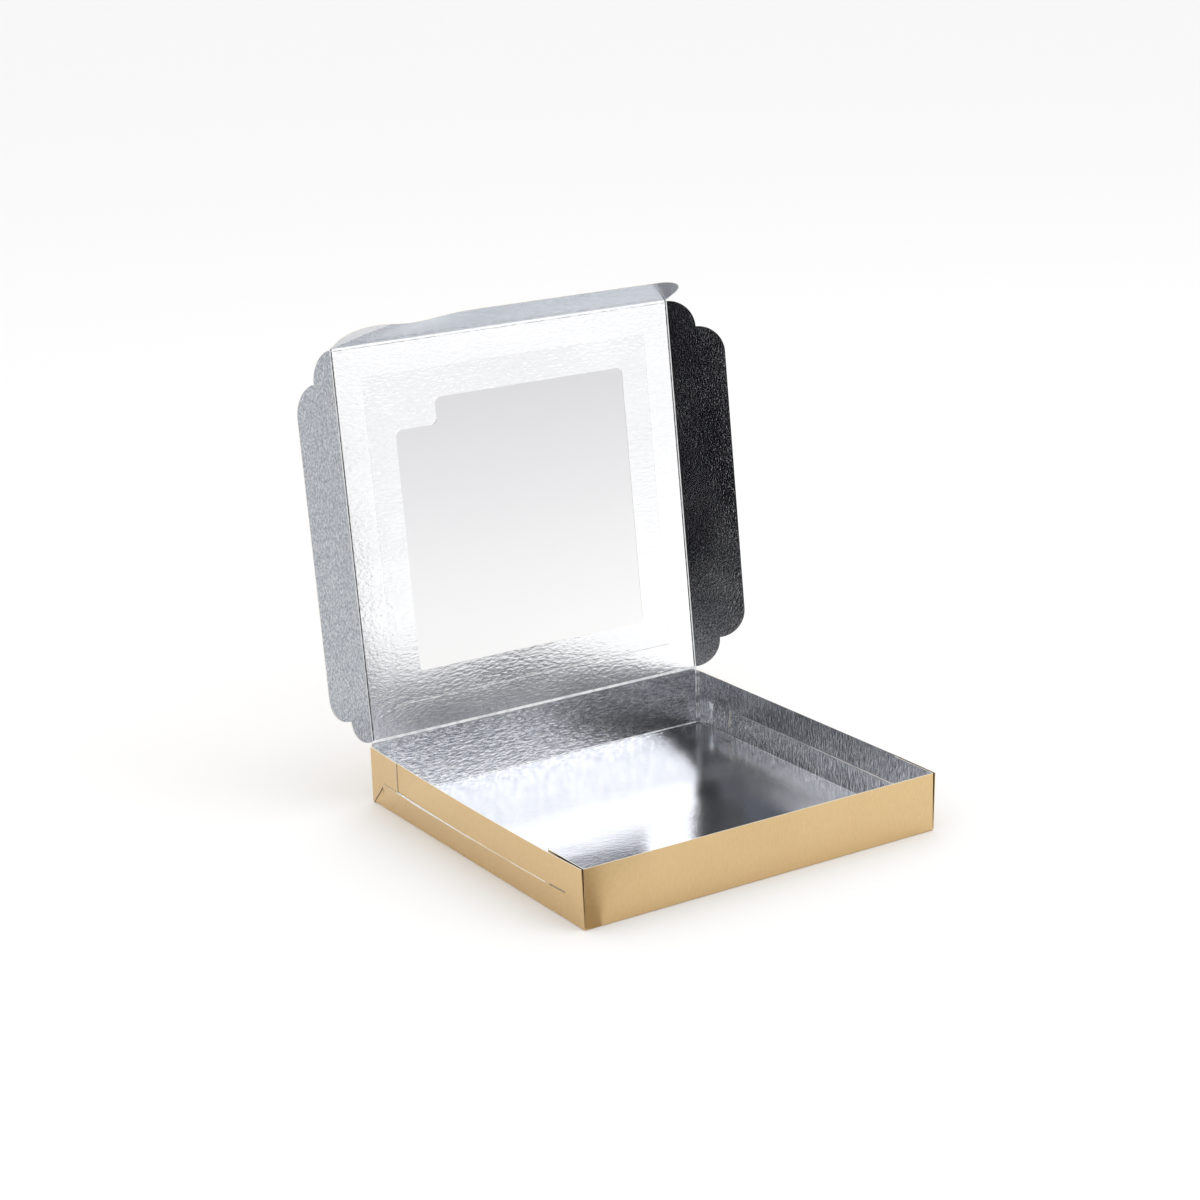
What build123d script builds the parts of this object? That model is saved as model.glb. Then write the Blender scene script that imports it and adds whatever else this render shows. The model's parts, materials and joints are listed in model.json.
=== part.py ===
from build123d import *
from math import cos, radians, sin, sqrt
import os

os.makedirs("parts", exist_ok=True)

# A shallow square box for sweets, folded from one sheet of foil-faced board.
# The tray's front and back walls each carry two corner flaps. The side panels
# have a long level slit, and the back corner flaps hook their tabs down
# through it. A lid with a film window hinges on the back wall, and three
# flaps fold off the lid's free edges.
# Frame: +X to the right along the front wall, +Y to the hinge, +Z up, origin
# at the middle of the tray's underside. Millimetres.

# The board
board = 0.5
fold_radius = 0.4
film = 0.1
layer_gap = 0.1

# The tray
tray_width = 254.0
tray_depth = 254.0
wall_height = 37.6
hinge_rise = 2.0
fold_heel = 1.4

# The side panels: how far each stands out in the middle of its length
left_bow = 3.2
right_bow = 1.2
slit_height = 18.0
slit_end_back = 14.0
slit_end_front = 18.0
slit_opening = 0.3
lower_bulge = 0.4
front_lean = 1.0

# The corner flaps and their hook tabs
corner_reach = 37.5
corner_lead = 1.0
hook_start = 18.3
hook_toe = 24.7
hook_shoulder = 14.0
hook_drop = 6.5
hook_side_clear = 0.3
front_splay = 0.3

# The lid and its folds
lid_lean = 6.0
hinge_bead = 0.4
crease_bead = 0.35
crease_gap = 0.1
side_clear = 0.2
tuck_clear = 0.3

# The lid's flaps
flap_depth = 37.2
flap_end_clear = 0.8
left_flap_angle = 24.0
right_flap_angle = 26.0
tuck_angle = 65.5
tuck_depth = 37.2
tuck_corner = 25.0
tuck_end_clear = 0.5

# The window, set in from the lid's side folds and from its hinge and front fold
window_side_border = 39.45
window_end_border = 39.85
window_corner = 3.0
notch_width = 30.0
notch_height = 17.0
film_overlap = 19.5
glue_line = 0.02

# Places worked out from the sizes above
half_width = tray_width / 2
half_depth = tray_depth / 2
front_half = half_width - board - layer_gap
back_half = half_width + board + layer_gap
fold_start = half_width - fold_radius - board
hinge_y = half_depth - board / 2
hinge_z = wall_height + hinge_rise
lid_half = front_half - board - side_clear - board / 2
lid_length = hinge_y + half_depth - board - tuck_clear - board / 2
tuck_half = lid_half - board / 2 - tuck_end_clear
window_width = 2 * (lid_half - window_side_border)
window_height = lid_length - 2 * window_end_border
window_middle = lid_length / 2

# Where the hook tab passes through the slit it lies outside the upper strip
# and inside the lower one, so their outer faces are two layers apart.
strip_step = 2 * (board + layer_gap)


def bent_strip(outer, inner, length, plane):
    """Board bent along the outer and inner outlines and drawn out by length."""
    outer_line = FilletPolyline(*outer, radius=fold_radius + board)
    inner_line = FilletPolyline(*inner, radius=fold_radius)
    start = Line(outer_line @ 0, inner_line @ 0)
    end = Line(outer_line @ 1, inner_line @ 1)
    section = make_face(outer_line.edges() + inner_line.edges() + [start, end])
    return extrude(plane * section, amount=length, both=True)


def base_and_end_walls():
    """The base with the front and back walls, bent up along one section."""
    outer = [
        (-half_depth, wall_height),
        (-half_depth, 0),
        (half_depth, 0),
        (half_depth, hinge_z),
    ]
    inner = [
        (-half_depth + board, wall_height),
        (-half_depth + board, board),
        (half_depth - board, board),
        (half_depth - board, hinge_z),
    ]
    body = bent_strip(outer, inner, fold_start, Plane.YZ)
    bead = Cylinder(hinge_bead, 2 * lid_half, rotation=(0, 90, 0))
    return body + Pos(0, hinge_y, hinge_z) * bead


def side_heel(side):
    """The fold at the foot of a side panel, along the whole depth."""
    outer = [(side * (fold_start - 1), 0), (side * half_width, 0), (side * half_width, fold_heel)]
    inner = [
        (side * (fold_start - 1), board),
        (side * (half_width - board), board),
        (side * (half_width - board), fold_heel),
    ]
    return bent_strip(outer, inner, half_depth - board - layer_gap, Plane.XZ)


def panel_section(side, back, middle, front, height):
    """A level slice of a side panel: back and front are (y, offset) pairs,
    offset outwards from the fold, joined by an arc that is middle out."""
    def edge_line(shift):
        """One face of the slice, from back to front."""
        ends = [[Vector(side * (half_width + o - shift), y, height) for y, o in run]
                for run in (back, front)]
        lines = [Line(a, b) for a, b in zip(ends[0], ends[0][1:])]
        if abs(middle) < 0.001:
            lines.append(Line(ends[0][-1], ends[1][0]))
        else:
            crown = Vector(side * (half_width + middle - shift), 0, height)
            lines.append(ThreePointArc(ends[0][-1], crown, ends[1][0]))
        lines += [Line(a, b) for a, b in zip(ends[1], ends[1][1:])]
        return lines
    outer = edge_line(0)
    inner = edge_line(board)
    caps = [Line(outer[0] @ 0, inner[0] @ 0), Line(outer[-1] @ 1, inner[-1] @ 1)]
    return make_face(outer + inner + caps)


def back_splay(bow):
    """How far the tip of a back corner flap is carried out by the bowed panel."""
    middle_share = 1 - ((half_depth - corner_reach) / half_depth) ** 2
    return bow * middle_share


def side_panel(side, bow):
    """A side panel with its long slit, bowed outwards along its length. The
    lower strip stands outside the upper one where the hook tab passes."""
    slope = back_splay(bow) / corner_reach
    end_y = half_depth - board - layer_gap
    slit_back_y = half_depth - slit_end_back
    hook_y = half_depth - hook_start + hook_side_clear
    tip_y = half_depth - corner_reach - hook_side_clear
    slit_front_y = -half_depth + slit_end_front
    front_y = -half_depth + layer_gap

    def plan(step, crown, lean):
        """Breakpoints for one level of the panel, from back to front."""
        out = {y: slope * (half_depth - abs(y)) for y in (end_y, slit_back_y, hook_y, tip_y)}
        back = [(end_y, 0), (slit_back_y, out[slit_back_y]),
                (hook_y, out[hook_y] + step), (tip_y, out[tip_y] + step)]
        front = [(-tip_y, out[tip_y] + lean),
                 (slit_front_y, slope * slit_end_front + lean), (front_y, lean)]
        return back, crown, front

    level = plan(0, 0, 0)
    foot = [[(y, 0) for y, _ in level[0]], 0, [(y, 0) for y, _ in level[2]]]
    slit_lean = front_lean * slit_height / wall_height
    lower_top = plan(strip_step, bow + lower_bulge, slit_lean)
    upper_foot = plan(0, bow, slit_lean)
    top = plan(0, bow, front_lean)
    lower = loft([panel_section(side, *foot, fold_heel),
                  panel_section(side, *lower_top, slit_height)], ruled=True)
    upper = loft([panel_section(side, *upper_foot, slit_height),
                  panel_section(side, *top, wall_height)], ruled=True)
    slit = Box(4 * strip_step + 2 * bow, slit_back_y - slit_front_y, slit_opening)
    slit_middle = (slit_back_y + slit_front_y) / 2
    slit = Pos(side * (half_width + bow / 2), slit_middle, slit_height) * slit
    return lower + upper - slit


def flap_outline():
    """A corner flap's outline from its wall: a slanted lower edge up to the
    slit, then the hook tab down to its toe. Pairs of (out from wall, height)."""
    return [
        (-1, 0),
        (corner_lead, 0),
        (hook_start, slit_height),
        (hook_start, hook_shoulder),
        (hook_toe, hook_drop),
        (corner_reach + 1, hook_drop),
        (corner_reach + 1, wall_height),
        (-1, wall_height),
    ]


def corner_flap(side, end, wall_half, splay, toe_shift):
    """A corner flap bent off the end of a wall. Its hook tab turns inwards
    below the slit, by toe_shift at its near and far edge."""
    wall_y = end * half_depth
    inner_y = end * (half_depth - board)
    tip_y = end * (half_depth - corner_reach)
    start_x = side * (fold_start - 1)
    outer = [(start_x, wall_y), (side * wall_half, wall_y), (side * (wall_half + splay), tip_y)]
    inner = [
        (start_x, inner_y),
        (side * (wall_half - board), inner_y),
        (side * (wall_half + splay - board), tip_y),
    ]
    bent = bent_strip(outer, inner, wall_height, Plane.XY)
    hook_box = Box(tray_width, corner_reach - hook_start + 1, slit_height,
                   align=(Align.CENTER, Align.MAX if end > 0 else Align.MIN, Align.MIN))
    bent -= Pos(side * half_width, end * (half_depth - hook_start), 0) * hook_box

    def hook_section(height, shifts):
        """A level slice of the hook tab."""
        near_far = [(hook_start, shifts[0]), (corner_reach, shifts[1])]
        face = [wall_half + splay * u / corner_reach - s for u, s in near_far]
        ys = [end * (half_depth - u) for u, _ in near_far]
        corners = [(side * face[0], ys[0], height), (side * face[1], ys[1], height),
                   (side * (face[1] - board), ys[1], height),
                   (side * (face[0] - board), ys[0], height)]
        return make_face(Polyline(*corners, close=True))

    hook = loft([hook_section(slit_height, (0, 0)), hook_section(hook_drop, toe_shift)],
                ruled=True)
    points = [(end * (half_depth - u), z) for u, z in flap_outline()]
    blank = Plane.YZ * make_face(Polyline(*points, close=True))
    return (bent + hook) & extrude(blank, amount=tray_width, both=True)


def back_toe_shift(bow):
    """How far the back hook's toe turns in, to lie a layer gap inside the
    sloping lower strip, at its near and far edge."""
    rise = (hook_drop - fold_heel) / (slit_height - fold_heel)
    slope = back_splay(bow) / corner_reach
    shifts = []
    for u in (hook_start, corner_reach):
        strip_top = slope * u + strip_step
        shifts.append(strip_top * (1 - rise))
    return shifts


def make_tray():
    """The tray as folded, one piece of board."""
    tray = base_and_end_walls()
    for side, bow in ((-1, left_bow), (1, right_bow)):
        tray += side_heel(side)
        tray += side_panel(side, bow)
        tray += corner_flap(side, -1, front_half, front_splay, (0, 0))
        tray += corner_flap(side, 1, back_half, back_splay(bow), back_toe_shift(bow))
    return tray


lid_normal = (0, -cos(radians(lid_lean)), sin(radians(lid_lean)))
lid_plane = Plane(origin=(0, hinge_y, hinge_z), x_dir=(1, 0, 0), z_dir=lid_normal)


def lid_opening():
    """The window's outline, with the stepped corner."""
    half = window_width / 2
    low = window_middle - window_height / 2
    high = window_middle + window_height / 2
    outline = Polyline(
        (-half, low), (half, low), (half, high), (-half + notch_width, high),
        (-half + notch_width, high - notch_height), (-half, high - notch_height), close=True)
    opening = make_face(outline)
    return fillet(opening.vertices(), window_corner)


def make_lid_panel():
    """The lid with its window, and the bead of each crease on its free edges."""
    start = hinge_bead + crease_gap
    panel = Rectangle(2 * lid_half, lid_length - start, align=(Align.CENTER, Align.MIN))
    panel = Pos(0, start) * panel - lid_opening()
    plate = extrude(panel, amount=board / 2, both=True)
    side_run = lid_length - 2 * flap_end_clear
    for side in (-1, 1):
        bead = Cylinder(crease_bead, side_run, rotation=(90, 0, 0))
        plate += Pos(side * lid_half, lid_length / 2, 0) * bead
    bead = Cylinder(crease_bead, 2 * tuck_half, rotation=(0, 90, 0))
    plate += Pos(0, lid_length, 0) * bead
    return lid_plane * plate


def make_side_flap(side, angle):
    """A side flap of the lid: two quarter-round lobes at each end."""
    start = crease_bead + crease_gap
    lobe = flap_depth / 2
    bulge = lobe * sqrt(0.5)
    low = flap_end_clear
    high = lid_length - flap_end_clear
    outline = []
    for end, way in ((low, 1), (high, -1)):
        near = Vector(start, end)
        cusp = Vector(lobe, end + way * lobe)
        far = Vector(flap_depth, end + way * 2 * lobe)
        mid_near = Vector(bulge, end + way * (lobe - bulge))
        mid_far = Vector(lobe + bulge, end + way * (2 * lobe - bulge))
        outline.append(ThreePointArc(near, mid_near, cusp))
        outline.append(ThreePointArc(cusp, mid_far, far))
    edges = outline + [
        Line((start, low), (start, high)),
        Line((flap_depth, low + 2 * lobe), (flap_depth, high - 2 * lobe)),
    ]
    blank = extrude(make_face(edges), amount=board / 2, both=True)
    turn = radians(angle)
    across = (side * cos(turn), 0, sin(turn))
    normal = (-sin(turn), 0, side * cos(turn))
    fold = Plane(origin=(side * lid_half, 0, 0), x_dir=across, z_dir=normal)
    return lid_plane * (fold * blank)


def make_tuck_flap(angle):
    """The tuck flap off the lid's front fold, with rounded outer corners."""
    start = crease_bead + crease_gap
    blank = Rectangle(2 * tuck_half, tuck_depth - start, align=(Align.CENTER, Align.MIN))
    blank = Pos(0, start) * blank
    corners = blank.vertices().sort_by(Axis.Y)[-2:]
    blank = fillet(corners, tuck_corner)
    flap = extrude(blank, amount=board / 2, both=True)
    turn = radians(angle)
    normal = (0, -sin(turn), cos(turn))
    fold = Plane(origin=(0, lid_length, 0), x_dir=(1, 0, 0), z_dir=normal)
    return lid_plane * (fold * flap)


def make_film():
    """The clear film, glued to the inside of the lid round the window."""
    width = window_width + 2 * film_overlap
    height = window_height + 2 * film_overlap
    sheet = Box(width, height, film, align=(Align.CENTER, Align.CENTER, Align.MIN))
    return lid_plane * (Pos(0, window_middle, board / 2 + glue_line) * sheet)


nodes = {
    "tray": make_tray(),
    "lid_panel": make_lid_panel(),
    "left_flap": make_side_flap(-1, left_flap_angle),
    "right_flap": make_side_flap(1, right_flap_angle),
    "tuck_flap": make_tuck_flap(tuck_angle),
    "window_film": make_film(),
}
for name, shape in nodes.items():
    export_step(shape, f"parts/{name}.step")
    print(name, round(shape.volume, 1))
print("lid hinge", 0, hinge_y, hinge_z)
print("lid fold half width", lid_half, "lid length", lid_length)
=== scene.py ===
import bpy
import bmesh
import json
import math
from mathutils import Matrix, Vector


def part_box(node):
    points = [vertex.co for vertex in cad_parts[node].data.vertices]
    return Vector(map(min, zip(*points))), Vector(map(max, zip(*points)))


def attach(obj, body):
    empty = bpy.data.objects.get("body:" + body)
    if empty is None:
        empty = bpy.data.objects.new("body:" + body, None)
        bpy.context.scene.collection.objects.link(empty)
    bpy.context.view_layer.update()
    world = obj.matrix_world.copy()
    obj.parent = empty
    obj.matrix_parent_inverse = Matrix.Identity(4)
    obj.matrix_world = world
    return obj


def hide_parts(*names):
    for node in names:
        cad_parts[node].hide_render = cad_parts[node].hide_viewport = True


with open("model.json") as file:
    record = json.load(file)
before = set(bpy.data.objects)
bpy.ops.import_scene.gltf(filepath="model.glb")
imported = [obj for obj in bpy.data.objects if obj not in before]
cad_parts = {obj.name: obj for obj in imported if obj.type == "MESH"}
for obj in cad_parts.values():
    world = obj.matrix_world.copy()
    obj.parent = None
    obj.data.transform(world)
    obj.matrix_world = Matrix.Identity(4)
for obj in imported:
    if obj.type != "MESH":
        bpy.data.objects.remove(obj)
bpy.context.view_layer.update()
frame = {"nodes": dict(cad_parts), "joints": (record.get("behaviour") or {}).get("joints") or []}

# %% [markdown]
# A shallow sweet box, folded from one sheet of board. The board has gold
# foil on its outside and silver foil on its inside, and its cut edges show
# the pale paper between them. The lid stands open, with a film window, two
# scalloped side flaps and a tuck flap along its free edges. Its size and the
# places of its folds are read from the frame, so that nothing is typed twice.

# %% Sizes read from the frame
MM = 0.001
board = 0.5 * MM
across = Vector((1, 0, 0))
tray_low, tray_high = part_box("tray")
joints = {joint["name"]: joint for joint in frame["joints"]}
hinge = Vector(joints["lid_hinge"]["pos_m"])
top_fold = Vector(joints["tuck_fold"]["pos_m"])
left_fold = Vector(joints["left_fold"]["pos_m"])
lid_up = (top_fold - hinge).normalized()
lid_in = across.cross(lid_up)
lid_half = -left_fold.x
lid_length = (top_fold - hinge).length
print("lid half width", round(lid_half, 5), "lid length", round(lid_length, 5))
print("lid faces inwards along", [round(v, 4) for v in lid_in])

# %% [markdown]
# The camera stands in front of the box and to its left, and looks down on it
# by 18 degrees. A camera is placed by its position and by the three directions
# of its own axes, so a matrix with those three columns turns it exactly. The
# numbers come from a fit to the corners of the box in the photograph. The
# long lens keeps the box's sides nearly parallel.

# %% Camera
eye = Vector((-0.8303, -1.2730, 0.5988))
turn = math.radians(-32.11)
look_down = math.radians(18.04)
tilt = math.radians(-1.824)
back = Vector((
    math.sin(turn) * math.cos(look_down),
    -math.cos(turn) * math.cos(look_down),
    math.sin(look_down),
))
level_right = Vector((math.cos(turn), math.sin(turn), 0))
level_up = back.cross(level_right)
right = level_right * math.cos(tilt) + level_up * math.sin(tilt)
up = level_up * math.cos(tilt) - level_right * math.sin(tilt)
camera_data = bpy.data.cameras.new("photo_camera")
camera_data.lens = 77.7
camera_data.sensor_width = 36
camera_data.shift_y = 0.05
camera = bpy.data.objects.new("photo_camera", camera_data)
camera_axes = Matrix((right, up, back)).transposed().to_4x4()
camera.matrix_world = Matrix.Translation(eye) @ camera_axes
bpy.context.scene.collection.objects.link(camera)
bpy.context.scene.camera = camera
bpy.context.scene.view_settings.view_transform = "Standard"
print("camera", [round(v, 3) for v in eye], "lens", camera_data.lens)

# %% [markdown]
# Colours are easiest to choose as sRGB hex values, the numbers that a paint
# program shows. Cycles adds light up in linear numbers, so one function turns
# hex into linear. A second one adds a node to a material: it takes the kind of
# node, what goes into its sockets, and any other setting of the node.

# %% Colour and node helpers
def linear(hex_colour):
    """An sRGB hex colour as linear red, green, blue and alpha."""
    shares = [int(hex_colour[i:i + 2], 16) / 255 for i in (1, 3, 5)]
    return [s / 12.92 if s <= 0.04045 else ((s + 0.055) / 1.055) ** 2.4 for s in shares] + [1]


def add_node(tree, kind, sockets=None, **settings):
    """Adds a node. Each socket takes a number, a colour or another node's output."""
    node = tree.nodes.new(kind)
    for name, value in settings.items():
        setattr(node, name, value)
    for name, value in (sockets or {}).items():
        if isinstance(value, bpy.types.NodeSocket):
            tree.links.new(value, node.inputs[name])
        else:
            node.inputs[name].default_value = value
    return node


def new_finish(name):
    """An empty material with its output node."""
    finish = bpy.data.materials.new(name)
    finish.use_nodes = True
    finish.node_tree.nodes.clear()
    output = add_node(finish.node_tree, "ShaderNodeOutputMaterial")
    return finish, finish.node_tree, output


print("mid grey in linear", round(linear("#808080")[0], 3))

# %% [markdown]
# Under the box lies a wide sheet of white background paper. Uncoated paper is
# matt: its fibres scatter the light, so it shows no reflection of the box,
# only a soft shadow. A disc far larger than the view does for the sheet. Its
# fibres are about a millimetre apart, drawn coarser than real ones, which
# would be too fine to show.

# %% Floor
floor_radius = 14.0
floor_gap = 0.05 * MM
floor_paper, tree, output = new_finish("matt_white_background_paper")
place = add_node(tree, "ShaderNodeTexCoord")
fibre = add_node(tree, "ShaderNodeTexNoise", {
    "Vector": place.outputs["Object"], "Scale": 0.9 / MM,
})
shade = add_node(tree, "ShaderNodeMix", {
    "Factor": fibre.outputs["Fac"], "A": linear("#F6F6F6"), "B": linear("#FAFAFA"),
}, data_type="RGBA")
paper = add_node(tree, "ShaderNodeBsdfPrincipled", {
    "Base Color": shade.outputs["Result"], "Roughness": 0.9, "Specular IOR Level": 0.1,
})
tree.links.new(paper.outputs[0], output.inputs["Surface"])

floor_mesh = bpy.data.meshes.new("floor")
floor_builder = bmesh.new()
bmesh.ops.create_circle(floor_builder, cap_ends=True, segments=96, radius=floor_radius)
floor_builder.to_mesh(floor_mesh)
floor_builder.free()
floor = bpy.data.objects.new("floor", floor_mesh)
floor.location.z = -floor_gap
floor_mesh.materials.append(floor_paper)
bpy.context.scene.collection.objects.link(floor)
print("floor radius", floor_radius, "m")

# %% [markdown]
# Packaging is photographed in even light with hardly a shadow. A white world
# gives the even part, from everywhere at once. Two softboxes add a little
# direction: the wider a light is, the softer the shadow under the box.

# %% Soft lights
world = bpy.data.worlds.new("studio")
world.use_nodes = True
sky = world.node_tree.nodes["Background"]
sky.inputs["Color"].default_value = linear("#FFFFFF")
sky.inputs["Strength"].default_value = 1.0
bpy.context.scene.world = world


def soft_light(name, place_at, aim_at, size, watts):
    """A square softbox that faces a point."""
    lamp = bpy.data.lights.new(name, "AREA")
    lamp.shape = "SQUARE"
    lamp.size = size
    lamp.energy = watts
    softbox = bpy.data.objects.new(name, lamp)
    softbox.location = place_at
    aim = Vector(aim_at) - Vector(place_at)
    softbox.rotation_euler = aim.to_track_quat("-Z", "Y").to_euler()
    bpy.context.scene.collection.objects.link(softbox)
    print(name, size, "m wide,", watts, "W")


soft_light("overhead_softbox", (0.2, -0.2, 2.2), (0, 0, 0), 2.4, 7)
soft_light("front_right_softbox", (1.0, -1.5, 1.0), (0, 0, 0.1), 1.2, 4.4)

# %% [markdown]
# Foil shows its surroundings more than itself, and in an all-white room it
# would look like white paint. A studio stands white, grey and black cards
# where the foil looks, and their tones become the foil's tones. The black
# card makes the dark bands, the grey ones the middle tones, and a small tan
# one on the floor darkens the gold at the front left corner. Only glossy rays
# meet the cards here, so they shape the reflections and nothing else.

# %% Cards that the foil sees
def card_finish(name, hex_colour):
    """Plain card that gives off the even light of its colour."""
    finish, tree, output = new_finish(name)
    light = add_node(tree, "ShaderNodeEmission", {"Color": linear(hex_colour), "Strength": 1.0})
    tree.links.new(light.outputs[0], output.inputs["Surface"])
    return finish


def stand_card(name, finish, foot, facing, width, height, lean):
    """A card on the floor, seen by glossy rays alone. It rises by height and
    leans away by lean. One without height lies flat."""
    forward = Vector((facing[0], facing[1], 0)).normalized()
    along = Vector((-forward.y, forward.x, 0)) * (width / 2)
    foot = Vector(foot)
    rise = Vector((0, 0, height)) - forward * lean
    corners = [foot - along, foot + along, foot + along + rise, foot - along + rise]
    mesh = bpy.data.meshes.new(name)
    mesh.from_pydata([tuple(c) for c in corners], [], [(0, 1, 2, 3)])
    mesh.materials.append(finish)
    card = bpy.data.objects.new(name, mesh)
    for sight in ("camera", "diffuse", "transmission", "volume_scatter", "shadow"):
        setattr(card, "visible_" + sight, False)
    bpy.context.scene.collection.objects.link(card)
    print(name, width, "m wide")


stand_card("front_black_card", card_finish("black_card", "#1A1A1E"),
           (-0.20, -0.27, 0), (0.25, 1), 0.62, 0.9, 0.3)
stand_card("back_dark_card", card_finish("dark_grey_card", "#6C6F76"),
           (0.62, 0.62, 0), (-0.6, -0.8), 0.9, 0.9, 0)
stand_card("right_pale_card", card_finish("pale_grey_card", "#C8CBD0"),
           (0.48, -0.02, 0), (-1, 0), 0.42, 0.5, 0)
stand_card("corner_tan_card", card_finish("tan_card", "#B4A996"),
           (-0.128, -0.13, 0.0003), (-0.53, 0.85), 0.024, 0, 0.2)

# %% [markdown]
# Metallised board is paper with a film of aluminium on it, so it behaves as a
# metal: Metallic is 1, its colour is the colour of its reflections, and its
# IOR stays at the default. The paper's fibres press through the film as a
# hammered texture with dimples 1 to 2 mm across, drawn out along the board's
# grain. A bump from a noise that is stretched along the grain gives both, and
# a second noise, with waves 35 mm long, keeps the sheet from being dead flat.
#
# A sheet that is nearly a mirror shows at once if it stands a few degrees off.
# A height that changes evenly with Z makes the bump lean the reflections in
# the same way, while the shape stays true to the CAD.

# %% Foil
wave_mm = 35


def pressed_foil(name, tones, roughness, grain, dimple_mm, dimple_depth_mm, wave_depth_mm,
                 lean=0, lean_below=1.0, metal=1.0):
    """Foil on paper. tones are its palest and deepest colours, and grain is
    how much the dimples are drawn out along X, Y and Z. The sheet leans by
    some degrees below the height lean_below. metal is the share of the foil
    that isn't crushed to fine cracks."""
    finish, tree, output = new_finish(name)
    place = add_node(tree, "ShaderNodeTexCoord")
    along_grain = add_node(tree, "ShaderNodeMapping", {
        "Vector": place.outputs["Object"], "Scale": [1 / g for g in grain],
    })
    dimples = add_node(tree, "ShaderNodeTexNoise", {
        "Vector": along_grain.outputs[0], "Scale": 1 / (dimple_mm * MM),
        "Detail": 2.0, "Roughness": 0.6,
    })
    waves = add_node(tree, "ShaderNodeTexNoise", {
        "Vector": along_grain.outputs[0], "Scale": 1 / (wave_mm * MM), "Detail": 1.0,
    })
    # Noise stays mostly between 0.3 and 0.7, so that is its useful range.
    tone = add_node(tree, "ShaderNodeMapRange", {
        "Value": dimples.outputs["Fac"], "From Min": 0.3, "From Max": 0.7,
    })
    colour = add_node(tree, "ShaderNodeMix", {
        "Factor": tone.outputs[0], "A": linear(tones[1]), "B": linear(tones[0]),
    }, data_type="RGBA")
    polish = add_node(tree, "ShaderNodeMapRange", {
        "Value": waves.outputs["Fac"], "From Min": 0.3, "From Max": 0.7,
        "To Min": roughness * 0.8, "To Max": roughness * 1.2,
    })
    parts = add_node(tree, "ShaderNodeSeparateXYZ", {"Vector": place.outputs["Object"]})
    leaning = add_node(tree, "ShaderNodeMath", {
        0: parts.outputs["Z"], 1: lean_below,
    }, operation="MINIMUM")
    slope = add_node(tree, "ShaderNodeMath", {
        0: leaning.outputs[0], 1: math.tan(math.radians(lean)),
    }, operation="MULTIPLY")
    wave_height = add_node(tree, "ShaderNodeMath", {
        0: waves.outputs["Fac"], 1: wave_depth_mm * MM, 2: slope.outputs[0],
    }, operation="MULTIPLY_ADD")
    warp = add_node(tree, "ShaderNodeBump", {
        "Height": wave_height.outputs[0], "Strength": 1.0, "Distance": 1.0,
    })
    hammer = add_node(tree, "ShaderNodeBump", {
        "Height": dimples.outputs["Fac"], "Strength": 1.0,
        "Distance": dimple_depth_mm * MM, "Normal": warp.outputs[0],
    })
    foil = add_node(tree, "ShaderNodeBsdfPrincipled", {
        "Base Color": colour.outputs["Result"], "Metallic": metal,
        "Roughness": polish.outputs[0], "Normal": hammer.outputs[0],
    })
    tree.links.new(foil.outputs[0], output.inputs["Surface"])
    print(name, "dimples", dimple_mm, "mm")
    return finish


# %% [markdown]
# The gold foil outside is lacquered: warm, satin and almost smooth. The silver
# one inside is bare and bright. One silver would do for a new flat sheet, but
# here each part of it was folded, pulled and pressed in its own way, and has
# its own grain direction. So each part has a finish of its own, all made by
# the same function. The base and the tuck flap are nearly smooth, the side
# walls are the most wrinkled, and the foil of the tuck flap's left ear is
# crushed and half dull.
# The base and the tuck flap also get darker silver tones than the lid; that is painted shade in
# their reflections, not a darker foil.

# %% Gold and silver sheets
slit_height = 18 * MM
lid_tones = ("#FCFCFD", "#F7F8FA")
wall_tones = ("#FDFDFE", "#C6C9CF")
flap_tones = ("#FFFFFF", "#B4B7BC")
silver = "silver_metallised_paperboard_"
gold_foil = pressed_foil(
    "gold_metallised_paperboard", ("#DDC091", "#D8BA8A"), 0.28, grain=(1, 1, 3),
    dimple_mm=1.2, dimple_depth_mm=0.003, wave_depth_mm=0.1)
# Its darker tones are painted shade in the base's reflections.
silver_base = pressed_foil(
    silver + "base", ("#CBCDD3", "#C6C8CE"), 0.14, grain=(2, 1, 1),
    dimple_mm=1.6, dimple_depth_mm=0.06, wave_depth_mm=0.4)
silver_lid = pressed_foil(
    silver + "lid", lid_tones, 0.16, grain=(2, 1, 1),
    dimple_mm=1.8, dimple_depth_mm=0.13, wave_depth_mm=0.3)
silver_front = pressed_foil(
    silver + "front_wall", lid_tones, 0.2, grain=(2, 1, 1),
    dimple_mm=1.8, dimple_depth_mm=0.1, wave_depth_mm=0.4)
silver_back = pressed_foil(
    silver + "back_wall", wall_tones, 0.16, grain=(3, 1, 1),
    dimple_mm=1.4, dimple_depth_mm=0.18, wave_depth_mm=0.4, lean=-6)
silver_side = pressed_foil(
    silver + "side_wall", wall_tones, 0.18, grain=(1, 1, 3),
    dimple_mm=1.6, dimple_depth_mm=0.4, wave_depth_mm=0.4, lean=-8, lean_below=slit_height)
silver_left = pressed_foil(
    silver + "left_flap", flap_tones, 0.13, grain=(1, 1, 1.6),
    dimple_mm=1.1, dimple_depth_mm=0.18, wave_depth_mm=0.25, lean=-7)
silver_right = pressed_foil(
    silver + "right_flap", flap_tones, 0.15, grain=(1, 1, 1.6),
    dimple_mm=1.1, dimple_depth_mm=0.12, wave_depth_mm=0.25)
# Its darker tones are painted shade in the tuck flap's reflections.
silver_tuck = pressed_foil(
    silver + "tuck", ("#C3C8D0", "#AEB3BC"), 0.2, grain=(2, 1, 1),
    dimple_mm=2.0, dimple_depth_mm=0.05, wave_depth_mm=0.2)
silver_ear = pressed_foil(
    silver + "crushed_ear", lid_tones, 0.4, grain=(1, 1, 1),
    dimple_mm=4.0, dimple_depth_mm=0.3, wave_depth_mm=0.5, metal=0.5)
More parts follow.
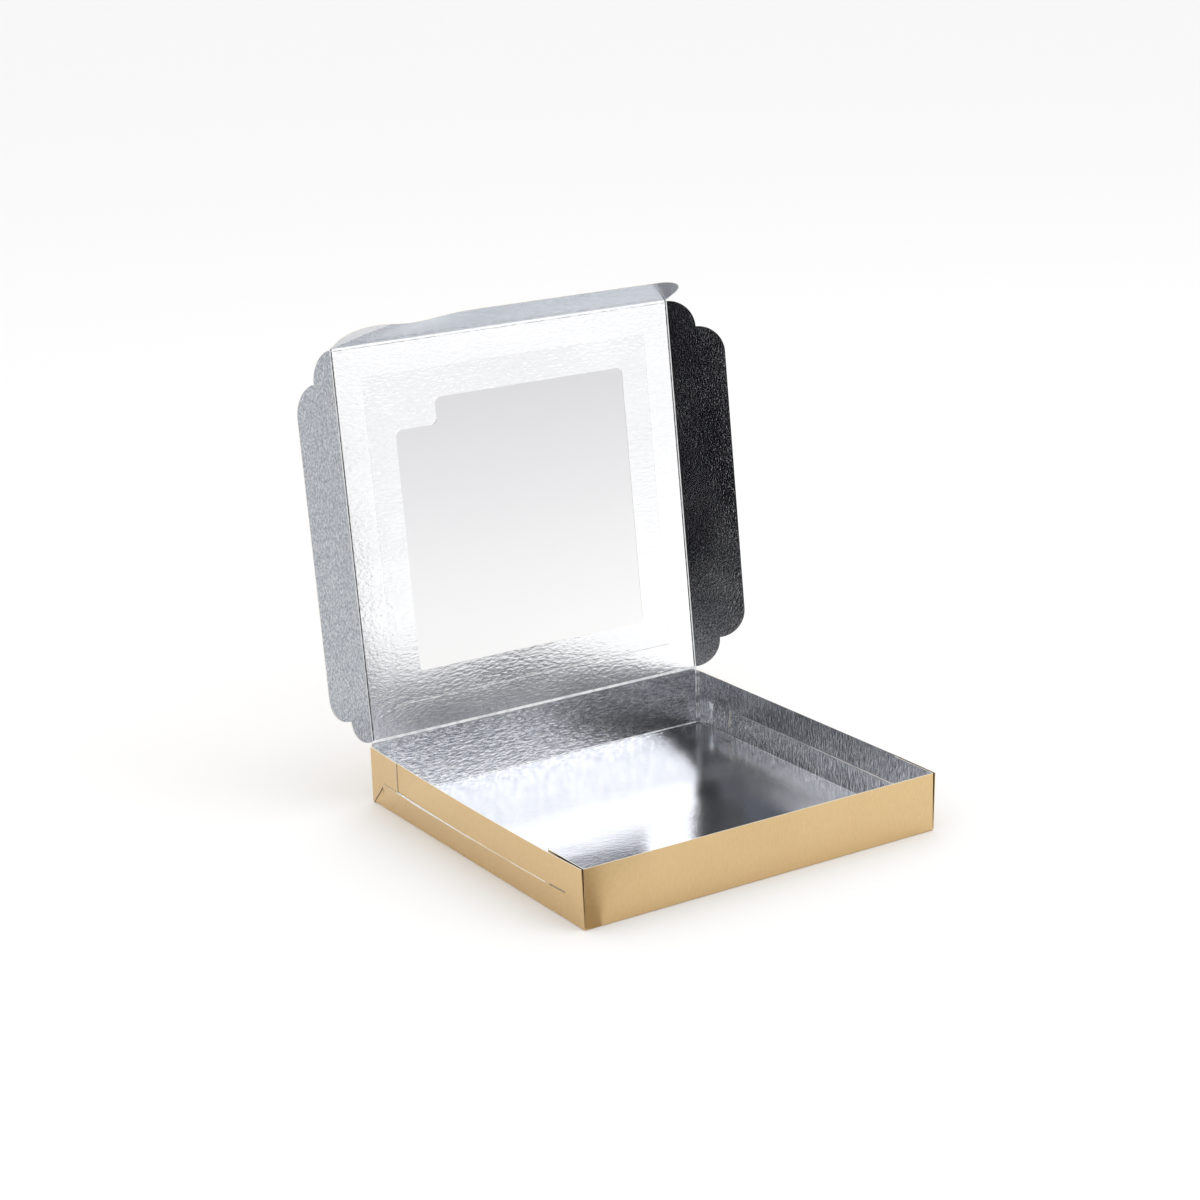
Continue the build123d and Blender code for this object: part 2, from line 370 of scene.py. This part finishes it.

# %% [markdown]
# On the bead of a crease the foil is stretched over the fold, and the rounded bead catches the
# light from above. The soft pale line this gives is a painted highlight, partly foil rubbed and
# cracked on the fold. The bead itself is in the CAD shape, so all it needs is a finish: half
# metal, half worn, with two pale tones that take turns in dashes about 4 mm long.

# %% Crease bead with a painted highlight
def dashed_tones(tree, place, tones, dash_mm):
    """A colour that changes between two tones in dashes of about dash_mm."""
    dashes = add_node(tree, "ShaderNodeTexNoise", {
        "Vector": place.outputs["Object"], "Scale": 1 / (dash_mm * MM), "Detail": 1.0,
    })
    broken = add_node(tree, "ShaderNodeMapRange", {
        "Value": dashes.outputs["Fac"], "From Min": 0.45, "From Max": 0.6,
    })
    colour = add_node(tree, "ShaderNodeMix", {
        "Factor": broken.outputs[0], "A": linear(tones[0]), "B": linear(tones[1]),
    }, data_type="RGBA")
    return colour.outputs["Result"]


painted_highlight_tones = ("#FFFFFF", "#E4E6EA")
crease_painted_highlight, tree, output = new_finish("foil_on_a_crease_with_painted_highlight")
place = add_node(tree, "ShaderNodeTexCoord")
worn_and_highlit_foil = add_node(tree, "ShaderNodeBsdfPrincipled", {
    "Base Color": dashed_tones(tree, place, painted_highlight_tones, 4.0),
    "Metallic": 0.4, "Roughness": 0.5,
})
tree.links.new(worn_and_highlit_foil.outputs[0], output.inputs["Surface"])
print("crease painted highlight, dashes 4 mm")

# %% [markdown]
# Beside a crease lie thin lines: pale ones are painted highlights where the rounded fold catches
# the light, partly foil cracked on the fold, and beside the lid's side folds run dark dashed
# ones. Along a slit the pale cut edge carries a painted highlight, and a painted shadow darkens
# the gap. These lines are under a millimetre wide. They could be cut into the mesh or drawn in
# an image. Here the material itself asks where a point lies: inside a narrow strip it shows the
# line, outside it the foil. Object coordinates move with the piece, so a line stays on its fold
# at every pose.

# %% Lines along the folds
def strip(direction, start, low_mm, high_mm):
    """A direction, and how far along it a strip begins and ends."""
    return direction, start + low_mm * MM, start + high_mm * MM


def within(tree, place, direction, low, high):
    """One where the distance along a direction lies between low and high."""
    reach = add_node(tree, "ShaderNodeVectorMath", {
        0: place.outputs["Object"], 1: list(direction),
    }, operation="DOT_PRODUCT")
    return add_node(tree, "ShaderNodeMath", {
        0: reach.outputs["Value"], 1: (low + high) / 2, 2: (high - low) / 2,
    }, operation="COMPARE")


def fold_line(finish, tones, dash_mm, *strips):
    """Draws a dashed line on a finish, where all of its strips meet."""
    tree = finish.node_tree
    output = tree.nodes["Material Output"]
    bare = output.inputs["Surface"].links[0].from_socket
    place = add_node(tree, "ShaderNodeTexCoord")
    on_line = within(tree, place, *strips[0])
    for other in strips[1:]:
        also = within(tree, place, *other)
        on_line = add_node(tree, "ShaderNodeMath", {
            0: on_line.outputs[0], 1: also.outputs[0],
        }, operation="MULTIPLY")
    line = add_node(tree, "ShaderNodeBsdfPrincipled", {
        "Base Color": dashed_tones(tree, place, tones, dash_mm), "Roughness": 0.5,
    })
    drawn = add_node(tree, "ShaderNodeMixShader", {
        0: on_line.outputs[0], 1: bare, 2: line.outputs[0],
    })
    tree.links.new(drawn.outputs[0], output.inputs["Surface"])
    print("line on", finish.name, "dashes", dash_mm, "mm")


X, Y, Z = (1, 0, 0), (0, 1, 0), (0, 0, 1)
lid_foot = hinge.dot(lid_up)
lid_head = lid_foot + lid_length
dark_dash_tones, grey_tones = ("#1C1C20", "#6E7076"), ("#B0B0B6", "#F2F2F4")
# The lid: dark dashed lines at both side folds, grey at the top fold, a painted highlight at the
# hinge.
fold_line(silver_lid, dark_dash_tones, 3.0, strip(X, -lid_half, 0.4, 1.3))
fold_line(silver_lid, dark_dash_tones, 3.0, strip(X, lid_half, -1.3, -0.4))
fold_line(silver_lid, grey_tones, 6.0, strip(lid_up, lid_head, -2.0, -1.6))
fold_line(silver_lid, painted_highlight_tones, 4.0, strip(lid_up, lid_foot, 0, 1.5))
# The tray: painted highlights on the fold of the back wall and on that wall's right-hand corner,
# whose dashes are partly foil cracked on the fold.
fold_line(silver_base, ("#FFFFFF", "#9A9CA2"), 5.0, strip(Y, tray_high.y, -2.2, -1.4))
fold_line(silver_back, ("#F4F5F7", "#85878D"), 5.0, strip(X, lid_half, -0.5, 0.7))

# %% [markdown]
# Each side panel has one long slit, and the hook tab of the back corner flap passes in through
# it. The gap is in the CAD shape. Its cut edge is drawn pale for most of the length, inside and
# outside: the pale paper core, with a painted highlight where the edge catches the light from
# above. Towards the front tip a painted shadow darkens the gap. Two strips at once, one in
# height and one along the panel, keep each of these lines to its own stretch of the slit.

# %% Lines along the slits
slit_front, slit_end = tray_low.y + 18 * MM, 88 * MM
painted_shadow_tip_mm, pale_start_mm, pale_end = 16, 20, 100 * MM
# Inside: the cut edge with a painted highlight.
fold_line(silver_side, ("#E4E6EA", "#B0B3B8"), 9.0,
          strip(Z, slit_height, -0.3, 0.3), (Y, slit_front, slit_end))
# Outside: the cut edge with a painted highlight.
fold_line(gold_foil, ("#FFFFFF", "#DCC69C"), 25.0,
          strip(Z, slit_height, -0.5, 0), (Y, slit_front + pale_start_mm * MM, pale_end))
# Painted shadow in the gap at the front tip.
fold_line(gold_foil, ("#2A2118", "#4A3A28"), 5.0,
          strip(Z, slit_height, -0.5, 0.4), strip(Y, slit_front, 0, painted_shadow_tip_mm))

# %% [markdown]
# Where the die cut the sheet, the edge shows the paper core: cream, matt and
# finely fibrous. It is only half a millimetre wide, but it draws the pale
# outline that makes folded card look like card. A fine noise gives the fibres
# both their tone and a slight roughness to the touch.

# %% Cut edge
fibre_mm = 0.4
paper_core, tree, output = new_finish("cut_edge_of_cream_paperboard")
place = add_node(tree, "ShaderNodeTexCoord")
fibres = add_node(tree, "ShaderNodeTexNoise", {
    "Vector": place.outputs["Object"], "Scale": 1 / (fibre_mm * MM), "Detail": 3.0,
})
cream = add_node(tree, "ShaderNodeMix", {
    "Factor": fibres.outputs["Fac"], "A": linear("#E9E0D0"), "B": linear("#FAF6EE"),
}, data_type="RGBA")
rough_fibres = add_node(tree, "ShaderNodeBump", {
    "Height": fibres.outputs["Fac"], "Distance": 0.05 * MM,
})
core = add_node(tree, "ShaderNodeBsdfPrincipled", {
    "Base Color": cream.outputs["Result"], "Roughness": 0.8, "Normal": rough_fibres.outputs[0],
})
tree.links.new(core.outputs[0], output.inputs["Surface"])
print("cut edge, fibres", fibre_mm, "mm")

# %% [markdown]
# The window is clear polypropylene film. Film this thin shows as a faint veil over what is
# behind it and a soft sheen. Here the veil is painted: a weak glossy grey plastic mixed with
# plain see-through, the grey standing in for what the film reflects. A glass shader would bend
# the light, which a sheet this thin doesn't do. Free film in the opening hangs a little slack,
# and its painted veil of reflection is denser towards the lid's top. Glued down, it all but
# vanishes.

# %% Film
film_low, film_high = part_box("window_film")
ripple_mm = 60


def thin_film(name, veil_low, veil_high):
    """Clear film with a grey veil of painted reflection that grows from the film's foot to its
    top.
    """
    finish, tree, output = new_finish(name)
    place = add_node(tree, "ShaderNodeTexCoord")
    parts = add_node(tree, "ShaderNodeSeparateXYZ", {"Vector": place.outputs["Object"]})
    veil = add_node(tree, "ShaderNodeMapRange", {
        "Value": parts.outputs["Z"], "From Min": film_low.z, "From Max": film_high.z,
        "To Min": veil_low, "To Max": veil_high,
    })
    ripple = add_node(tree, "ShaderNodeTexNoise", {
        "Vector": place.outputs["Object"], "Scale": 1 / (ripple_mm * MM),
    })
    slack = add_node(tree, "ShaderNodeBump", {
        "Height": ripple.outputs["Fac"], "Distance": 0.3 * MM,
    })
    plastic = add_node(tree, "ShaderNodeBsdfPrincipled", {
        "Base Color": linear("#838290"), "Roughness": 0.08, "IOR": 1.49,
        "Alpha": veil.outputs[0], "Normal": slack.outputs[0],
    })
    tree.links.new(plastic.outputs[0], output.inputs["Surface"])
    print(name, "veil", veil_low, "to", veil_high)
    return finish


free_film = thin_film("clear_polypropylene_film", 0.02, 0.225)
glued_film = thin_film("clear_polypropylene_film_glued_down", 0.01, 0.02)

# %% [markdown]
# Along its foot the film ends in a cut edge. The cut is frayed a little and
# catches the light here and there, so it shows as a thin white line, now
# fainter and now clearer. A slow noise in the alpha does that.

# %% Edge of the film
nick_mm = 8
film_edge, tree, output = new_finish("cut_edge_of_polypropylene_film")
place = add_node(tree, "ShaderNodeTexCoord")
nicks = add_node(tree, "ShaderNodeTexNoise", {
    "Vector": place.outputs["Object"], "Scale": 1 / (nick_mm * MM),
})
seen = add_node(tree, "ShaderNodeMapRange", {
    "Value": nicks.outputs["Fac"], "From Min": 0.4, "From Max": 0.6,
    "To Min": 0.3, "To Max": 0.8,
})
cut = add_node(tree, "ShaderNodeBsdfPrincipled", {
    "Base Color": linear("#FFFFFF"), "Roughness": 0.3, "Alpha": seen.outputs[0],
})
tree.links.new(cut.outputs[0], output.inputs["Surface"])
print("film edge, nicks", nick_mm, "mm")

# %% [markdown]
# The film and the tuck flap are thin sheets with two faces and a rim. One
# function builds such a sheet from a grid of points: it asks for the middle of
# the sheet and its direction at each point, puts a face on either side and
# closes the rim, so the mesh has no open edge.

# %% A sheet with two faces
def thin_sheet(name, columns, rows, place, thickness, finishes, choose):
    """A closed sheet. place gives a point and the way its front looks, for a
    column and a row. choose gives the finish's number for front, back or rim."""
    builder = bmesh.new()
    front, rear = [], []
    for u in columns:
        middles = [place(u, v) for v in rows]
        front.append([builder.verts.new(p + n * thickness / 2) for p, n in middles])
        rear.append([builder.verts.new(p - n * thickness / 2) for p, n in middles])
    last_u, last_v = len(columns) - 1, len(rows) - 1
    for i in range(last_u):
        for j in range(last_v):
            middle = ((columns[i] + columns[i + 1]) / 2, (rows[j] + rows[j + 1]) / 2)
            quad = [(i, j), (i + 1, j), (i + 1, j + 1), (i, j + 1)]
            ahead = builder.faces.new([front[a][b] for a, b in quad])
            ahead.material_index = choose("front", middle)
            behind = builder.faces.new([rear[a][b] for a, b in quad[::-1]])
            behind.material_index = choose("back", middle)
    rim = [((i, 0), (i + 1, 0)) for i in range(last_u)]
    rim += [((i + 1, last_v), (i, last_v)) for i in range(last_u)]
    rim += [((0, j + 1), (0, j)) for j in range(last_v)]
    rim += [((last_u, j), (last_u, j + 1)) for j in range(last_v)]
    for (a, b), (c, d) in rim:
        face = builder.faces.new([front[c][d], front[a][b], rear[a][b], rear[c][d]])
        face.material_index = choose("rim", (0, 0))
    bmesh.ops.recalc_face_normals(builder, faces=builder.faces)
    mesh = bpy.data.meshes.new(name)
    builder.to_mesh(mesh)
    builder.free()
    for finish in finishes:
        mesh.materials.append(finish)
    sheet = bpy.data.objects.new(name, mesh)
    bpy.context.scene.collection.objects.link(sheet)
    print(name, "faces", len(mesh.polygons))
    return sheet


def steps(low, high, count, through=()):
    """Evenly spaced values from low to high, with some more put in between."""
    even = [low + (high - low) * i / count for i in range(count + 1)]
    return sorted(set(even) | set(through))

# %% [markdown]
# The tray is one folded sheet and its CAD shape is right, so it stays. Each
# of its faces belongs to the gold side, to one part of the silver side, to a
# cut edge or to the bead under the lid. A face that looks away from the middle
# of the tray is on the outside, and a face that lies across the board's
# thickness is a cut.

# %% Tray
def wear(node, finishes, choose):
    """Gives each face of a CAD node the finish whose number choose returns."""
    mesh = frame["nodes"][node].data
    mesh.materials.clear()
    for finish in finishes:
        mesh.materials.append(finish)
    counts = [0] * len(finishes)
    for face in mesh.polygons:
        face.material_index = choose(face.center, face.normal)
        counts[face.material_index] += 1
    print(node, "faces by finish", counts)


GOLD, SILVER, CUT, SIDE, BACK, CREASE, FRONT = range(7)
wall_top = 37.6 * MM
tray_middle = Vector((0, 0, 0.8 * wall_top))
side_wall, wall_face = 125 * MM, tray_high.y - 1.5 * board
base_fold, bead_foot = 1.5 * MM, hinge.z - 0.42 * MM
# A face looks along an axis if the part of its normal along it is over face_on,
# and stands edge on to the axis if that part is under edge_on.
face_on, edge_on = 0.7, 0.3


def tray_side(centre, normal):
    """The finish of one face of the tray."""
    on_side = abs(centre.x) > side_wall
    on_rim = wall_top - 0.05 * MM < centre.z < wall_top + 0.2 * MM
    in_panel = on_side and abs(centre.y) < wall_face and centre.z > base_fold
    if centre.z > bead_foot:
        return CREASE
    if on_rim and abs(normal.z) > face_on:
        return CUT
    if in_panel and abs(normal.x) < edge_on:
        return CUT
    if normal.dot(centre - tray_middle) > 0:
        return GOLD
    if on_side and abs(normal.x) > face_on:
        return SIDE
    if abs(normal.y) > face_on:
        return BACK if centre.y > 0 else FRONT
    return SILVER


wear("tray", [
    gold_foil, silver_base, paper_core, silver_side, silver_back, crease_painted_highlight, silver_front,
], tray_side)

# %% [markdown]
# The lid and its flaps are flat boards, so their two faces are told apart by the way they look:
# the silver side of each faces the front of the box. The narrow beads at the lid's sides, where
# the flaps fold, carry the crease finish with its painted highlight.

# %% Lid and flaps
BEAD = 3
bead_width = 0.2 * MM
# A face of the rim turns less than this to either side of the board.
rim_look = 0.25


def board_sides(facing):
    """Chooses silver for faces that look along facing, gold for those behind."""
    def side(centre, normal):
        """The finish of one face of the board."""
        look = normal.dot(facing)
        if abs(look) < rim_look:
            return CUT
        return SILVER if look > 0 else GOLD
    return side


def lid_side(centre, normal):
    """The finish of one face of the lid, with the beads of its side creases."""
    if abs(centre.x) > lid_half - bead_width:
        return BEAD
    return board_sides(lid_in)(centre, normal)


def flap_facing(node):
    """The direction that the silver side of a flap faces, from its largest face."""
    mesh = frame["nodes"][node].data
    ahead = Vector((0, -1, -0.5))
    forward = [face for face in mesh.polygons if face.normal.dot(ahead) > 0.3]
    return max(forward, key=lambda face: face.area).normal.copy()


wear("lid_panel", [gold_foil, silver_lid, paper_core, crease_painted_highlight], lid_side)
for flap, flap_silver in (("left_flap", silver_left), ("right_flap", silver_right)):
    facing = flap_facing(flap)
    wear(flap, [gold_foil, flap_silver, paper_core], board_sides(facing))
    print(flap, "faces", [round(v, 3) for v in facing])

# %% [markdown]
# The opening is a rectangle with one corner stepped in, and all its corners
# are rounded. The film has no hole there, only another finish, so its outline
# is a question that each small face of the film answers: is my middle in the
# opening? Two rounded rectangles and the rounding of the step's inner corner
# make it up.

# %% Outline of the window
window_half = 86 * MM
window_foot = 39.85 * MM
window_head = lid_length - window_foot
notch_side, notch_foot = -56 * MM, window_head - 17 * MM
film_corner = 4.5 * MM
corner_step = 0.5 * MM


def corner_steps(*ends):
    """Close steps to either side of each end, as far as the rounding goes."""
    count = round(film_corner / corner_step)
    return [end + corner_step * i for end in ends for i in range(-count, count + 1)]


def in_round(u, v, low_u, high_u, low_v, high_v):
    """Whether a point lies in a rectangle with rounded corners."""
    past_u = max(low_u + film_corner - u, u - high_u + film_corner, 0)
    past_v = max(low_v + film_corner - v, v - high_v + film_corner, 0)
    return math.hypot(past_u, past_v) < film_corner


def in_window(u, v):
    """Whether a point, u across and v up the lid, lies in the opening."""
    wide = in_round(u, v, -window_half, window_half, window_foot, notch_foot)
    tall = in_round(u, v, notch_side, window_half, window_foot, window_head)
    at_step = 0 < notch_side - u < film_corner and 0 < v - notch_foot < film_corner
    from_round = math.hypot(u - notch_side + film_corner, v - notch_foot - film_corner)
    return wide or tall or (at_step and from_round > film_corner)


print("opening", round(2 * window_half / MM, 1), "x",
      round((window_head - window_foot) / MM, 1), "mm")

# %% [markdown]
# The film is cut larger than the window and glued to the silver side of the
# lid. It is one sheet, with the free finish over the opening, the glued one
# round it and the cut edge along its foot. It bellies out by a quarter of a
# millimetre where it is free.

# %% Window film
FREE, GLUED, EDGE = range(3)
film_thickness, glue_gap = 0.1 * MM, 0.02 * MM
film_lift = (board + film_thickness) / 2 + glue_gap
film_foot = (film_low - hinge).dot(lid_up)
film_side = film_high.x
film_border = 0.6 * MM
belly = 0.25 * MM
lid_middle = lid_length / 2


def on_film(u, v):
    """A point of the film, u across and v up the lid."""
    inside = max(0, 1 - abs(u / window_half))
    inside *= max(0, 1 - abs((v - lid_middle) / (window_head - lid_middle)))
    lift = film_lift + belly * math.sqrt(inside)
    return hinge + across * u + lid_up * v + lid_in * lift, lid_in


def film_finish(side, middle):
    """Free film over the opening, glued film round it, cut edge at the foot."""
    u, v = middle
    if side == "rim" or v < film_foot + film_border:
        return EDGE
    return FREE if in_window(u, v) else GLUED


film_columns = steps(-film_side, film_side, 24,
                     corner_steps(-window_half, notch_side, window_half))
film_rows = steps(film_foot, lid_length - film_foot, 24,
                  corner_steps(window_foot, notch_foot, window_head) + [film_foot + film_border])
film = thin_sheet("film", film_columns, film_rows, on_film, film_thickness,
                  [free_film, glued_film, film_edge], film_finish)
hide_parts("window_film")
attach(film, "lid")

# %% [markdown]
# The tuck flap is folded forwards off the top of the lid. Its two outer
# corners are rounded, and a slanted crease at each end lets the ear bend when
# the flap is pushed in. The right ear is bent in by 2 degrees. The left one is
# crushed, with a shallow dent beside it. It stays flat here, because a stiff
# ear that stands out would cut the front wall when the box is closed, and its
# finish shows the crushed foil. A grid whose columns follow the rounded
# outline, with the points of the ear and the dent moved off the flat, gives
# all of this.

# %% Shape of the tuck flap
tuck_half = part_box("tuck_flap")[1].x
tuck_start, tuck_deep, tuck_corner = 0.45 * MM, 37.2 * MM, 25 * MM
tuck_facing = flap_facing("tuck_flap")
tuck_out = tuck_facing.cross(across).normalized()
if tuck_out.y > 0:
    tuck_out = -tuck_out
ear_slant = 0.75
ear_lean = math.tan(math.radians(2))
ear_softness = 1.2 * MM
dent_at, dent_width, dent_depth, dent_start = -85 * MM, 24 * MM, 3 * MM, 5 * MM


def tuck_reach(u):
    """How deep the flap is at a distance from its middle."""
    past = abs(u) - (tuck_half - tuck_corner)
    if past <= 0:
        return tuck_deep
    return tuck_deep - tuck_corner + math.sqrt(max(0, tuck_corner ** 2 - past ** 2))


def on_tuck(u, share):
    """A point of the tuck flap, u across, share of the way to the free edge."""
    v = tuck_start + (tuck_reach(u) - tuck_start) * share
    past_crease = (u - tuck_half + ear_slant * v) / math.hypot(1, ear_slant)
    bend = ear_softness * math.log1p(math.exp(past_crease / ear_softness)) * ear_lean
    dent = dent_depth * max(0, v - dent_start) / (tuck_deep - dent_start)
    dent *= math.exp(-((u - dent_at) / dent_width) ** 2)
    point = top_fold + across * u + tuck_out * v + tuck_facing * (bend + dent)
    return point, tuck_facing


print("tuck flap", round(2 * tuck_half / MM, 1), "x", round(tuck_deep / MM, 1), "mm")

# %% [markdown]
# The grid gets extra columns where the outline is round, one for every 5
# degrees of the rounding, so the corners come out smooth. Smooth shading keeps
# the dent soft, and edges sharper than 40 degrees stay crisp, as a cut is.

# %% Tuck flap
EAR = 3
round_steps = [
    tuck_half - tuck_corner * (1 - math.sin(math.radians(angle))) for angle in range(0, 91, 5)
]
tuck_columns = steps(-tuck_half, tuck_half, 60, round_steps + [-u for u in round_steps])


def tuck_finish(side, middle):
    """Silver in front, crushed foil on the left ear, gold behind."""
    u, share = middle
    crushed = -u > tuck_half - ear_slant * tuck_deep * share
    return {"front": EAR if crushed else SILVER, "back": GOLD, "rim": CUT}[side]


tuck = thin_sheet("tuck_board", tuck_columns, steps(0, 1, 14), on_tuck, board,
                  [gold_foil, silver_tuck, paper_core, silver_ear], tuck_finish)
tuck.data.shade_smooth()
tuck.data.set_sharp_from_angle(angle=math.radians(40))
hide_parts("tuck_flap")
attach(tuck, "tuck_flap")
